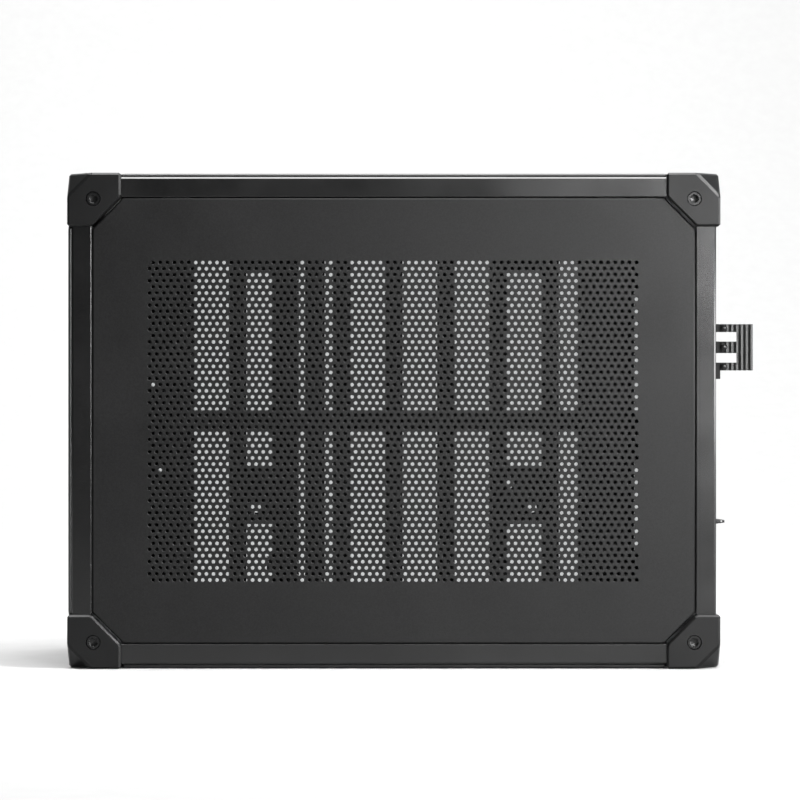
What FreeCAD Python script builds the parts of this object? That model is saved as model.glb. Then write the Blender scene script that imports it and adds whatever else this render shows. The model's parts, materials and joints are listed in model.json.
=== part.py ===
import FreeCAD, Part
import os
import Sketcher

# A micro-ATX computer case: a frame of rails and corner blocks, closed by panels.
# Case coordinates start at the front, right, bottom corner of the frame.
# x runs to the rear, y to the left side and z up.
# All sizes are in millimetres.

SIZES = {
    # Frame
    "depth": 390,
    "width": 190,
    "height": 296,
    "rail_size": 12,
    "rail_inset": 2.4,
    "rail_edge": 1.1,
    "rail_inner_edge": 0.3,
    "rail_groove_width": 3,
    "rail_groove_depth": 3,
    "corner_reach": 32,
    "corner_edge": 1.2,
    "corner_gap": 1.2,
    "vertex_cut": 14.3,
    # Corner screws
    "screw_offset": 15.6,
    "screw_head_radius": 4.2,
    "screw_head_length": 5,
    "screw_sink": 1,
    "screw_shank_radius": 2.5,
    "screw_shank_length": 10,
    "screw_clearance": 0.2,
    "socket_radius": 2.4,
    "socket_depth": 2.5,
    # Side panels, their studs and clips
    "panel_gap": 0.4,
    "panel_thick": 2,
    "panel_edge": 0.8,
    "panel_slope": 45,
    "glass_thick": 4,
    "stud_radius": 2,
    "stud_head_radius": 2.6,
    "stud_head_length": 2,
    "stud_length": 6.5,
    "clip_margin": 65,
    "clip_length": 16,
    "clip_height": 10,
    "clip_clearance": 0.3,
    # Vent fields: staggered six-sided holes
    "vent_pitch": 26.5,
    "vent_row": 22.9,
    "vent_radius": 8,
    "side_vent_columns": 11,
    "side_vent_row_pairs": 4,
    "top_vent_columns": 11,
    "top_vent_row_pairs": 2,
    "front_vent_columns": 4,
    "front_vent_row_pairs": 4,
    "front_vent_drop": 20,
    # Skins on the outside of the rails
    "skin_thick": 2,
    # Motherboard tray and what is fixed to it
    "tray_thick": 1.2,
    "tray_margin": 6,
    "tray_end_gap": 0.3,
    "slot_pitch": 31.3,
    "slot_width": 20.7,
    "slot_height": 95,
    "slot_web": 12.4,
    "slot_columns": 10,
    "slot_last_height": 72,
    "strip_margin": 20,
    "strap_lead": 0.8,
    "strap_width": 16.1,
    "strap_ear_reach": 3.3,
    "strap_ear_height": 10,
    "strap_thick": 1.2,
    "stiffener_gap": 3.6,
    "stiffener_width": 12,
    "stiffener_height": 4,
    "stiffener_slope": 2,
    "cover_start": 34,
    "cover_width": 40.5,
    "cover_thick": 1.2,
    "cover_margin": 40,
    "cover_hole_radius": 1.6,
    "cover_upper_hole_x": 17,
    "cover_upper_hole_rise": 22,
    "cover_lower_hole_x": 21.3,
    "cover_lower_hole_drop": 29,
    "channel_lead": 54.6,
    "channel_width": 33.5,
    "channel_depth": 6,
    "channel_wall": 1.2,
    "channel_margin": 30,
    "drive_plate_slots": 2.5,
    "drive_plate_width": 28,
    "drive_plate_drop": 62.2,
    "drive_plate_rise": 88.6,
    "drive_plate_height": 34.7,
    "drive_plate_thick": 1.2,
    "drive_hole_radius": 3,
    "drive_hole_inset_x": 9.5,
    "drive_hole_inset_z": 9.9,
    "drive_hole_step": 14.2,
    # Board position and standoffs
    "board_rise": 123,
    "board_gap": 1,
    "board_row_first": 6.35,
    "board_row_second": 163.83,
    "board_row_third": 209.55,
    "board_column_first": 10.16,
    "board_column_top": 33.02,
    "board_column_middle": 165.1,
    "board_column_last": 237.49,
    "standoff_height": 6.5,
    "standoff_radius": 3.1,
    "standoff_bore": 1.3,
    # Power supply bracket
    "supply_start": 16,
    "supply_depth": 86,
    "supply_side_gap": 8,
    "supply_thick": 1.5,
    "supply_drop": 34,
    "supply_foot": 13,
    "supply_window_end": 12,
    "supply_window_side": 17,
    "supply_hole_radius": 1.9,
    "supply_hole_end": 6,
    "supply_hole_side": 7,
    # Rear panel
    "rear_thick": 1.2,
    "rear_recess": 27.7,
    "rear_lip": 4,
    "connector_length": 158.75,
    "connector_height": 44.45,
    "connector_rise": 5.9,
    "connector_drop": 5,
    "fan_drop": 65,
    "fan_hole_spacing": 82.5,
    "fan_hole_radius": 2.2,
    "fan_slot_margin": 7.25,
    "fan_slot_width": 6.5,
    "fan_slot_pitch": 10.5,
    "fan_slots": 8,
    "bay_pitch": 20.32,
    "bay_count": 4,
    "bay_drop": 10.5,
    "bay_width": 12.6,
    "bay_rise": 8.4,
    "bay_length": 105,
    "bay_end_gap": 0.5,
    "ledge_thick": 1.2,
    "ledge_reach": 11.7,
    # Slot covers and their screws
    "bracket_thick": 0.9,
    "bracket_width": 18.4,
    "bracket_foot": 4,
    "bracket_tab_width": 11.6,
    "bracket_tab_reach": 11.4,
    "thumb_radius": 4.4,
    "thumb_length": 5,
    "thumb_shank_radius": 1.7,
    "thumb_shank_length": 6,
    "thumb_clearance": 0.2,
    # Power inlet
    "inlet_gap": 13.1,
    "inlet_width": 27,
    "inlet_height": 19.6,
    "inlet_depth": 18,
    "inlet_flange_width": 50,
    "inlet_flange_height": 24,
    "inlet_flange_thick": 2.5,
    "inlet_wall": 1.6,
    "inlet_socket_depth": 15,
    "inlet_clearance": 0.2,
    "prong_width": 2,
    "prong_height": 4,
    "prong_length": 10,
    "prong_spacing": 7,
    "prong_offset": 2,
    # Front connectors
    "module_drop": 30,
    "module_height": 18,
    "module_width": 104,
    "module_depth": 11,
    "button_shift": -39,
    "button_radius": 7,
    "button_travel": 1.2,
    "button_stop_gap": 0.8,
    "button_clearance": 0.3,
    "port_clearance": 0.2,
    "port_depth": 8,
    "port_wall": 0.5,
    "tongue_gap": 0.9,
    "type_a_shift": 9,
    "type_a_step": 20,
    "type_a_width": 14,
    "type_a_height": 6.8,
    "tongue_thick": 1.8,
    "type_c_shift": -11,
    "type_c_width": 9,
    "type_c_height": 3.4,
    "jack_shift": 45,
    "jack_radius": 3,
    "jack_bore": 1.8,
    # Ribbed cable anchor and small eye at the rear
    "anchor_reach": 22.2,
    "anchor_bottom": 178,
    "anchor_height": 27.7,
    "anchor_thick": 1.4,
    "anchor_end_leg": 4.7,
    "anchor_window_depth": 12.9,
    "anchor_window_height": 5.7,
    "anchor_foot_thick": 1.6,
    "anchor_foot_width": 10,
    "anchor_tab_drop": 5.1,
    "anchor_tab_thick": 2.5,
    "anchor_ribs": 8,
    "anchor_rib_pitch": 2.9,
    "anchor_rib_width": 1.3,
    "anchor_rib_height": 1.6,
    "rivet_radius": 1.4,
    "rivet_clearance": 0.1,
    "rivet_head_radius": 1.9,
    "rivet_offset": 5,
    "rivet_proud": 0.6,
    "eye_level": 87.7,
    "eye_radius": 1.65,
    "eye_length": 5.4,
    "eye_taper": 9,
    "eye_hole_radius": 0.5,
    "eye_hole_offset": 3.6,
}

doc = FreeCAD.newDocument("MicroAtxCase")
sheet = doc.addObject("Spreadsheet::Sheet", "Size")
for row, (alias, size) in enumerate(SIZES.items(), start=1):
    sheet.set(f"A{row}", str(size))
    sheet.setAlias(f"A{row}", alias)
doc.recompute()

# Places that several pieces share, as expressions of the sizes
OVERALL = "(Size.depth + Size.anchor_reach - Size.rail_inset)"
RAIL_MIDDLE = "(Size.rail_inset + Size.rail_size / 2)"
RAIL_INNER = "(Size.rail_inset + Size.rail_size)"
SKIN_MARGIN = "(Size.rail_inset - Size.skin_thick)"
SKIN_SIDE = "(Size.rail_inset + Size.rail_edge)"
PANEL_EDGE = f"({RAIL_INNER} + Size.panel_gap)"
DIAGONAL = f"(Size.corner_reach + {RAIL_INNER} + sqrt(2) * Size.corner_gap)"
NOTCH_LONG = "(Size.corner_reach + Size.corner_gap)"
NOTCH_SHORT = f"({RAIL_INNER} + (sqrt(2) - 1) * Size.corner_gap)"
TRAY_FAR = f"({RAIL_INNER} + Size.tray_thick)"
REAR_OUTER = "(Size.depth - Size.rear_recess)"
REAR_INNER = f"({REAR_OUTER} - Size.rear_thick)"
REAR_RAIL_FACE = "(Size.depth - Size.rail_inset)"
BOARD_REAR = f"({REAR_INNER} - Size.board_gap)"
BOARD_TOP = "(Size.height / 2 + Size.board_rise)"
CONNECTOR_TOP = f"({BOARD_TOP} - Size.connector_drop)"
FIRST_BAY = f"({CONNECTOR_TOP} - Size.connector_length - Size.bay_drop)"
BAY_START = f"({TRAY_FAR} + Size.bay_rise)"
LEDGE_FACE = f"({BAY_START} + Size.bay_length - Size.bay_end_gap - Size.bracket_thick)"
STRAP_START = f"({BOARD_REAR} - Size.board_column_last - Size.strap_lead)"
SUPPLY_LEVEL = "(Size.height - Size.supply_drop)"
CONNECTOR_SIDE = f"({TRAY_FAR} + Size.connector_rise)"
CONNECTOR_END = f"({CONNECTOR_SIDE} + Size.connector_height)"
PAN_SIDE = f"(Size.width - {RAIL_INNER} - Size.rear_thick)"
FAN_SIDE = f"(({CONNECTOR_END} + {PAN_SIDE}) / 2)"
FAN_LEVEL = f"({BOARD_TOP} - Size.fan_drop)"
INLET_LEVEL = f"({FIRST_BAY} + Size.bay_pitch / 2 + Size.inlet_gap + Size.inlet_flange_height / 2)"
MODULE_LEVEL = "(Size.height - Size.module_drop)"

PIECES = []


def number(text):
    """The present value of an expression."""
    return float(sheet.evalExpression(text))


def new_body(label, x="0", y="0", z="0", turn=None):
    """An empty body at a place in case coordinates."""
    body = doc.addObject("PartDesign::Body", label)
    body.Label = label
    body.AllowCompound = True
    if turn is not None:
        body.Placement = FreeCAD.Placement(FreeCAD.Vector(), turn)
    body.setExpression("Placement.Base.x", f"{x} - {OVERALL} / 2")
    body.setExpression("Placement.Base.y", f"{y} - Size.width / 2")
    body.setExpression("Placement.Base.z", z)
    PIECES.append(body)
    return body


def rectangle(low_u, low_v, high_u, high_v):
    return [(low_u, low_v), (high_u, low_v), (high_u, high_v), (low_u, high_v)]


def centred(middle_u, middle_v, size_u, size_v):
    return rectangle(
        f"{middle_u} - {size_u} / 2", f"{middle_v} - {size_v} / 2",
        f"{middle_u} + {size_u} / 2", f"{middle_v} + {size_v} / 2",
    )


def circle(middle_u, middle_v, radius):
    return (middle_u, middle_v, radius)


def hexagon(middle_u, middle_v, radius):
    corners = range(30, 390, 60)
    return [(f"{middle_u} + {radius} * cos({a})", f"{middle_v} + {radius} * sin({a})") for a in corners]


def add_sketch(body, plane, offset, loops):
    """A sketch on one of the body's own planes; every point and radius follows the sheet."""
    sketch = body.newObject("Sketcher::SketchObject", body.Name + "_sketch")
    support = [feature for feature in body.Origin.OriginFeatures if feature.Role == plane + "_Plane"]
    sketch.AttachmentSupport = [(support[0], "")]
    sketch.MapMode = "FlatFace"
    sketch.setExpression("AttachmentOffset.Base.z", offset)
    geometry = []
    constraints = []
    bindings = []
    for loop in loops:
        if isinstance(loop, tuple):
            add_circle(loop, geometry, constraints, bindings)
        else:
            add_polygon(loop, geometry, constraints, bindings)
    sketch.addGeometry(geometry)
    sketch.addConstraint(constraints)
    for index, text in bindings:
        sketch.setExpression(f"Constraints[{index}]", text)
    return sketch


def bind(constraints, bindings, text, kind, *ends):
    bindings.append((len(constraints), text))
    constraints.append(Sketcher.Constraint(kind, *ends, number(text)))


def add_circle(loop, geometry, constraints, bindings):
    middle_u, middle_v, radius = loop
    index = len(geometry)
    middle = FreeCAD.Vector(number(middle_u), number(middle_v), 0)
    geometry.append(Part.Circle(middle, FreeCAD.Vector(0, 0, 1), number(radius)))
    bind(constraints, bindings, middle_u, "DistanceX", -1, 1, index, 3)
    bind(constraints, bindings, middle_v, "DistanceY", -1, 1, index, 3)
    bind(constraints, bindings, radius, "Radius", index)


def add_polygon(loop, geometry, constraints, bindings):
    first = len(geometry)
    count = len(loop)
    points = [FreeCAD.Vector(number(u), number(v), 0) for u, v in loop]
    for k in range(count):
        geometry.append(Part.LineSegment(points[k], points[(k + 1) % count]))
        constraints.append(Sketcher.Constraint("Coincident", first + k, 2, first + (k + 1) % count, 1))
    for k, (u, v) in enumerate(loop):
        bind(constraints, bindings, u, "DistanceX", -1, 1, first + k, 1)
        bind(constraints, bindings, v, "DistanceY", -1, 1, first + k, 1)


def pad(body, plane, offset, length, loops, taper=None):
    """Material from the offset along the plane's normal: +X for YZ, -Y for XZ, +Z for XY."""
    feature = body.newObject("PartDesign::Pad", body.Name + "_pad")
    feature.Profile = add_sketch(body, plane, offset, loops)
    feature.setExpression("Length", length)
    if taper is not None:
        feature.setExpression("TaperAngle", taper)
    return feature


def cut(body, plane, offset, length, loops):
    """Takes away material over the same span as pad would add it."""
    feature = body.newObject("PartDesign::Pocket", body.Name + "_cut")
    feature.Profile = add_sketch(body, plane, offset, loops)
    feature.Reversed = True
    feature.setExpression("Length", length)
    return feature


def linear_pattern(body, feature, axis, spacing, count):
    pattern = body.newObject("PartDesign::LinearPattern", body.Name + "_pattern")
    pattern.Direction = (feature.Profile[0], [axis])
    pattern.Mode = "Spacing"
    pattern.setExpression("Offset", spacing)
    pattern.setExpression("Occurrences", count)
    return pattern


def repeat(body, feature, axis, spacing, count):
    """Copies a feature along one axis of its sketch."""
    pattern = linear_pattern(body, feature, axis, spacing, count)
    pattern.Originals = [feature]
    body.Tip = pattern


def repeat_in_rows(body, feature, spacing, count, spacing_up, count_up):
    """Copies a feature along both axes of its sketch."""
    grid = body.newObject("PartDesign::MultiTransform", body.Name + "_grid")
    grid.Originals = [feature]
    grid.Transformations = [
        linear_pattern(body, feature, "H_Axis", spacing, count),
        linear_pattern(body, feature, "V_Axis", spacing_up, count_up),
    ]
    body.Tip = grid


def vent_field(body, plane, offset, length, middle_u, middle_v, columns, row_pairs):
    """A field of staggered six-sided holes about a middle point."""
    first_u = f"({middle_u} - ({columns} - 0.5) * Size.vent_pitch / 2)"
    first_v = f"({middle_v} - (2 * {row_pairs} - 1) * Size.vent_row / 2)"
    pair = [
        hexagon(first_u, first_v, "Size.vent_radius"),
        hexagon(f"{first_u} + Size.vent_pitch / 2", f"{first_v} + Size.vent_row", "Size.vent_radius"),
    ]
    holes = cut(body, plane, offset, length, pair)
    repeat_in_rows(body, holes, "Size.vent_pitch", columns, "2 * Size.vent_row", row_pairs)


# Outlines: each corner is a path in distances from the two outer planes, from its u edge to its v edge


def notched_corner(margin_u, margin_v):
    """Goes round a corner block that the plate lies beside."""
    inner = [(NOTCH_SHORT, NOTCH_LONG), (NOTCH_LONG, NOTCH_SHORT)]
    return [(margin_u, NOTCH_LONG), *inner, (NOTCH_LONG, margin_v)]


def cut_corner(margin_u, margin_v):
    """A straight cut along the block's diagonal edge."""
    return [(margin_u, f"{DIAGONAL} - {margin_u}"), (f"{DIAGONAL} - {margin_v}", margin_v)]


def half_notched_corner(margin_u, margin_v):
    """As a notch, for a plate that ends short of the block's outer arm."""
    return [(margin_u, f"{DIAGONAL} - {margin_u}"), (NOTCH_LONG, NOTCH_SHORT), (NOTCH_LONG, margin_v)]


def plate_outline(size_u, size_v, low_corner, high_corner):
    """A closed outline with one corner path at both low u corners and another at both high u corners."""
    low_low = low_corner
    high_low = [(f"{size_u} - ({u})", v) for u, v in reversed(high_corner)]
    high_high = [(f"{size_u} - ({u})", f"{size_v} - ({v})") for u, v in high_corner]
    low_high = [(u, f"{size_v} - ({v})") for u, v in reversed(low_corner)]
    return low_low + high_low + high_high + low_high


# Frame


def rail_profile():
    """Square bar with a broad chamfer on its outer edge and a groove in both inner faces."""
    half = "Size.rail_size / 2"
    outer = "Size.rail_size / 2 - Size.rail_edge"
    edge = "Size.rail_size / 2 - Size.rail_inner_edge"
    floor = "Size.rail_size / 2 - Size.rail_groove_depth"
    side = "Size.rail_groove_width / 2"
    return [
        (f"-({outer})", f"-({half})"), (edge, f"-({half})"), (half, f"-({edge})"),
        (half, f"-({side})"), (floor, f"-({side})"), (floor, side), (half, side),
        (half, edge), (edge, half),
        (side, half), (side, floor), (f"-({side})", floor), (f"-({side})", half),
        (f"-({edge})", half), (f"-({half})", edge), (f"-({half})", f"-({outer})"),
    ]


def far_rail(size):
    return f"({size} - {RAIL_MIDDLE})"


def make_rails():
    reach = "Size.corner_reach"
    along_x = [
        ("rail_right_bottom", RAIL_MIDDLE, RAIL_MIDDLE),
        ("rail_left_bottom", far_rail("Size.width"), RAIL_MIDDLE),
        ("rail_left_top", far_rail("Size.width"), far_rail("Size.height")),
        ("rail_right_top", RAIL_MIDDLE, far_rail("Size.height")),
    ]
    for quarter, (label, y, z) in enumerate(along_x):
        turn = FreeCAD.Rotation(FreeCAD.Vector(1, 0, 0), 90 * quarter)
        body = new_body(label, reach, y, z, turn)
        pad(body, "YZ", "0", f"Size.depth - 2 * {reach}", [rail_profile()])
    along_y = [
        ("rail_front_bottom", RAIL_MIDDLE, RAIL_MIDDLE),
        ("rail_rear_bottom", far_rail("Size.depth"), RAIL_MIDDLE),
        ("rail_rear_top", far_rail("Size.depth"), far_rail("Size.height")),
        ("rail_front_top", RAIL_MIDDLE, far_rail("Size.height")),
    ]
    for quarter, (label, x, z) in enumerate(along_y):
        turn = FreeCAD.Rotation(FreeCAD.Vector(0, -1, 0), 90 * quarter)
        body = new_body(label, x, f"Size.width - {reach}", z, turn)
        pad(body, "XZ", "0", f"Size.width - 2 * {reach}", [rail_profile()])
    upright = [
        ("post_front_right", RAIL_MIDDLE, RAIL_MIDDLE),
        ("post_rear_right", far_rail("Size.depth"), RAIL_MIDDLE),
        ("post_rear_left", far_rail("Size.depth"), far_rail("Size.width")),
        ("post_front_left", RAIL_MIDDLE, far_rail("Size.width")),
    ]
    for quarter, (label, x, y) in enumerate(upright):
        turn = FreeCAD.Rotation(FreeCAD.Vector(0, 0, 1), 90 * quarter)
        body = new_body(label, x, y, reach, turn)
        pad(body, "XY", "0", f"Size.height - 2 * {reach}", [rail_profile()])


def make_corner(label, x, y, z, turn):
    """A block whose three arms end at the rails, with its outer vertex cut off and a sunk screw hole."""
    body = new_body(label, x, y, z, turn)
    reach = "Size.corner_reach"
    wedge = [(reach, RAIL_INNER), (reach, reach), (RAIL_INNER, reach)]
    pad(body, "XY", "0", reach, [[("0", "0"), (reach, "0"), wedge[0], wedge[2], ("0", reach)]])
    cut(body, "XZ", f"-{reach}", reach, [wedge])
    cut(body, "YZ", "0", reach, [wedge])
    vertex = add_sketch(body, "XY", "Size.vertex_cut / 3", [circle("0", "0", reach)])
    space_diagonal = FreeCAD.Rotation(FreeCAD.Vector(0, 0, 1), FreeCAD.Vector(1, 1, 1))
    vertex.AttachmentOffset = FreeCAD.Placement(FreeCAD.Vector(), space_diagonal)
    vertex.setExpression("AttachmentOffset.Base.x", "Size.vertex_cut / 3")
    vertex.setExpression("AttachmentOffset.Base.y", "Size.vertex_cut / 3")
    slice_off = body.newObject("PartDesign::Pocket", label + "_vertex")
    slice_off.Profile = vertex
    slice_off.Type = "ThroughAll"
    doc.recompute()
    edges = body.newObject("PartDesign::Chamfer", label + "_edges")
    edges.Base = (slice_off, ["Edge1"])
    edges.UseAllEdges = True
    edges.setExpression("Size", "Size.corner_edge")
    place = ("Size.screw_offset", "Size.screw_offset")
    sink = "(Size.screw_sink + Size.screw_head_length)"
    shank = f"({sink} + Size.screw_shank_length)"
    cut(body, "XZ", f"-{sink}", sink, [circle(*place, "Size.screw_head_radius + Size.screw_clearance")])
    cut(body, "XZ", f"-{shank}", shank, [circle(*place, "Size.screw_shank_radius + Size.screw_clearance")])


def make_corners():
    upside_down = FreeCAD.Rotation(FreeCAD.Vector(1, 0, 0), 180)
    right_side = [("front", "bottom", 0), ("front", "top", 90), ("rear", "top", 180), ("rear", "bottom", 270)]
    for end, level, angle in right_side:
        turn = FreeCAD.Rotation(FreeCAD.Vector(0, 1, 0), angle)
        x = "0" if end == "front" else "Size.depth"
        z = "0" if level == "bottom" else "Size.height"
        make_corner(f"corner_{end}_right_{level}", x, "0", z, turn)
    left_side = [("front", "top", 0), ("rear", "top", 90), ("rear", "bottom", 180), ("front", "bottom", 270)]
    for end, level, angle in left_side:
        turn = FreeCAD.Rotation(FreeCAD.Vector(0, 1, 0), angle).multiply(upside_down)
        x = "0" if end == "front" else "Size.depth"
        z = "0" if level == "bottom" else "Size.height"
        make_corner(f"corner_{end}_left_{level}", x, "Size.width", z, turn)


def make_corner_screws():
    """Socket head screws in all eight blocks, as one group."""
    body = new_body("corner_screws")
    low = "Size.screw_offset"
    places = [(x, z) for x in (low, f"Size.depth - {low}") for z in (low, f"Size.height - {low}")]
    heads = [circle(x, z, "Size.screw_head_radius") for x, z in places]
    shanks = [circle(x, z, "Size.screw_shank_radius") for x, z in places]
    sockets = [hexagon(x, z, "Size.socket_radius") for x, z in places]
    bottom = "(Size.screw_sink + Size.screw_head_length)"
    tip = f"({bottom} + Size.screw_shank_length)"
    pad(body, "XZ", f"-{bottom}", "Size.screw_head_length", heads)
    pad(body, "XZ", f"-{tip}", "Size.screw_shank_length", shanks)
    cut(body, "XZ", "-(Size.screw_sink + Size.socket_depth)", "Size.socket_depth", sockets)
    pad(body, "XZ", "-(Size.width - Size.screw_sink)", "Size.screw_head_length", heads)
    pad(body, "XZ", f"-(Size.width - {bottom})", "Size.screw_shank_length", shanks)
    cut(body, "XZ", "-(Size.width - Size.screw_sink)", "Size.socket_depth", sockets)


# Side panels, which pull straight off


def make_side_panels():
    corner = cut_corner(PANEL_EDGE, PANEL_EDGE)
    outline = plate_outline("Size.depth", "Size.height", corner, corner)
    right = new_body("right_panel")
    inner_face = "(Size.rail_inset + Size.panel_thick)"
    sloped_face = "(Size.rail_inset + Size.panel_edge)"
    pad(right, "XZ", f"-{inner_face}", "Size.panel_thick - Size.panel_edge", [outline])
    pad(right, "XZ", f"-{sloped_face}", "Size.panel_edge", [outline], "-Size.panel_slope")
    vent_field(
        right, "XZ", f"-{inner_face}", "Size.panel_thick", "Size.depth / 2", "Size.height / 2",
        "Size.side_vent_columns", "Size.side_vent_row_pairs",
    )
    left = new_body("left_glass")
    pad(left, "XZ", "-(Size.width - Size.rail_inset)", "Size.glass_thick", [outline])


def clip_places():
    level = f"({RAIL_INNER} + Size.clip_height / 2)"
    sides = ("Size.clip_margin", "Size.depth - Size.clip_margin")
    levels = (level, f"(Size.height - {level})")
    return [(x, z) for x in sides for z in levels]


def make_studs_and_clips():
    """Each panel carries headed studs that push into bored blocks under the long rails."""
    stems = [circle(x, z, "Size.stud_radius") for x, z in clip_places()]
    heads = [circle(x, z, "Size.stud_head_radius") for x, z in clip_places()]
    blocks = [centred(x, z, "Size.clip_length", "Size.clip_height") for x, z in clip_places()]
    bores = [circle(x, z, "Size.stud_head_radius + Size.clip_clearance") for x, z in clip_places()]
    right_face = "(Size.rail_inset + Size.panel_thick)"
    left_face = "(Size.width - Size.rail_inset - Size.glass_thick)"

    right_studs = new_body("right_studs")
    pad(right_studs, "XZ", f"-({right_face} + Size.stud_length)", "Size.stud_length", stems)
    pad(right_studs, "XZ", f"-({right_face} + Size.stud_length)", "Size.stud_head_length", heads)
    right_clips = new_body("right_clips")
    right_clip_depth = f"{RAIL_INNER} - {right_face} - Size.clip_clearance"
    pad(right_clips, "XZ", f"-{RAIL_INNER}", right_clip_depth, blocks + bores)

    left_studs = new_body("left_studs")
    left_head = f"({left_face} - Size.stud_length + Size.stud_head_length)"
    pad(left_studs, "XZ", f"-{left_face}", "Size.stud_length", stems)
    pad(left_studs, "XZ", f"-{left_head}", "Size.stud_head_length", heads)
    left_clips = new_body("left_clips")
    left_clip_face = f"({left_face} - Size.clip_clearance)"
    left_clip_depth = f"{left_clip_face} - (Size.width - {RAIL_INNER})"
    pad(left_clips, "XZ", f"-{left_clip_face}", left_clip_depth, blocks + bores)


# Skins that lie on the outside of the rails


def make_skins():
    front_corner = notched_corner(SKIN_MARGIN, SKIN_SIDE)
    rear_corner = notched_corner(SKIN_SIDE, SKIN_SIDE)
    level_outline = plate_outline("Size.depth", "Size.width", front_corner, rear_corner)
    top = new_body("top_panel")
    top_level = "Size.height - Size.rail_inset"
    pad(top, "XY", top_level, "Size.skin_thick", [level_outline])
    vent_field(
        top, "XY", top_level, "Size.skin_thick", "Size.depth / 2", "Size.width / 2",
        "Size.top_vent_columns", "Size.top_vent_row_pairs",
    )
    bottom = new_body("bottom_panel")
    pad(bottom, "XY", SKIN_MARGIN, "Size.skin_thick", [level_outline])
    front = new_body("front_panel")
    upright_corner = notched_corner(SKIN_SIDE, "Size.rail_inset")
    front_outline = plate_outline("Size.width", "Size.height", upright_corner, upright_corner)
    pad(front, "YZ", SKIN_MARGIN, "Size.skin_thick", [front_outline] + connector_holes())
    vent_field(
        front, "YZ", SKIN_MARGIN, "Size.skin_thick", "Size.width / 2",
        "(Size.height / 2 - Size.front_vent_drop)",
        "Size.front_vent_columns", "Size.front_vent_row_pairs",
    )


# Motherboard tray and the pieces fixed to it


def make_tray():
    tray = new_body("motherboard_tray")
    rear_margin = f"(Size.depth - {REAR_INNER} + Size.tray_end_gap)"
    front_corner = notched_corner("Size.tray_margin", "Size.tray_margin")
    rear_corner = half_notched_corner(rear_margin, "Size.tray_margin")
    outline = plate_outline("Size.depth", "Size.height", front_corner, rear_corner)
    pad(tray, "XZ", f"-{TRAY_FAR}", "Size.tray_thick", [outline])
    half_row = "(Size.slot_columns - 1) * Size.slot_pitch / 2"
    last_column = slot_column(f"(Size.depth / 2 + {half_row})", "Size.slot_last_height")
    cut(tray, "XZ", f"-{TRAY_FAR}", "Size.tray_thick", last_column)
    first_column = slot_column(f"(Size.depth / 2 - {half_row})", "Size.slot_height")
    slots = cut(tray, "XZ", f"-{TRAY_FAR}", "Size.tray_thick", first_column)
    repeat(tray, slots, "H_Axis", "Size.slot_pitch", "Size.slot_columns - 1")


def slot_column(middle, height):
    """Two upright slots, above and below the level web."""
    rise = f"(Size.slot_web + {height}) / 2"
    return [
        centred(middle, f"(Size.height / 2 + {rise})", "Size.slot_width", height),
        centred(middle, f"(Size.height / 2 - {rise})", "Size.slot_width", height),
    ]


def upright_strip(start, width, margin):
    return rectangle(start, margin, f"{start} + {width}", f"Size.height - {margin}")


def board_rows():
    """Levels of the board's three rows of fixing holes."""
    return [f"({BOARD_TOP} - Size.board_row_{name})" for name in ("first", "second", "third")]


def make_tray_fittings():
    strap = new_body("board_strap")
    strap_face = f"({TRAY_FAR} + Size.strap_thick)"
    pad(strap, "XZ", f"-{strap_face}", "Size.strap_thick",
        [upright_strip(STRAP_START, "Size.strap_width", "Size.strip_margin")])
    ears = [
        rectangle(f"{STRAP_START} - Size.strap_ear_reach", f"{z} - Size.strap_ear_height / 2",
                  f"{STRAP_START} + Size.strap_width / 2", f"{z} + Size.strap_ear_height / 2")
        for z in board_rows()
    ]
    pad(strap, "XZ", f"-{strap_face}", "Size.strap_thick", ears)

    stiffener_start = f"{STRAP_START} + Size.strap_width + Size.stiffener_gap"
    stiffener = new_body("tray_stiffener", stiffener_start, TRAY_FAR, "Size.strip_margin")
    section = [
        ("0", "0"), ("Size.stiffener_width", "0"),
        ("Size.stiffener_width - Size.stiffener_slope", "Size.stiffener_height"),
        ("Size.stiffener_slope", "Size.stiffener_height"),
    ]
    pad(stiffener, "XY", "0", "Size.height - 2 * Size.strip_margin", [section])

    cover = new_body("cable_cover")
    places = [
        ("Size.cover_start + Size.cover_upper_hole_x", "Size.height / 2 + Size.cover_upper_hole_rise"),
        ("Size.cover_start + Size.cover_lower_hole_x", "Size.height / 2 - Size.cover_lower_hole_drop"),
    ]
    holes = [circle(x, z, "Size.cover_hole_radius") for x, z in places]
    pad(cover, "XZ", f"-{RAIL_INNER}", "Size.cover_thick",
        [upright_strip("Size.cover_start", "Size.cover_width", "Size.cover_margin")] + holes)

    channel_start = f"{BOARD_REAR} - Size.channel_lead"
    channel = new_body("cable_channel", channel_start, RAIL_INNER, "Size.channel_margin")
    wall = "Size.channel_wall"
    inner = f"Size.channel_width - {wall}"
    mouth = "-Size.channel_depth"
    channel_section = [
        ("0", "0"), ("0", mouth), (wall, mouth), (wall, f"-{wall}"),
        (inner, f"-{wall}"), (inner, mouth), ("Size.channel_width", mouth), ("Size.channel_width", "0"),
    ]
    pad(channel, "XY", "0", "Size.height - 2 * Size.channel_margin", [channel_section])


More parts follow.
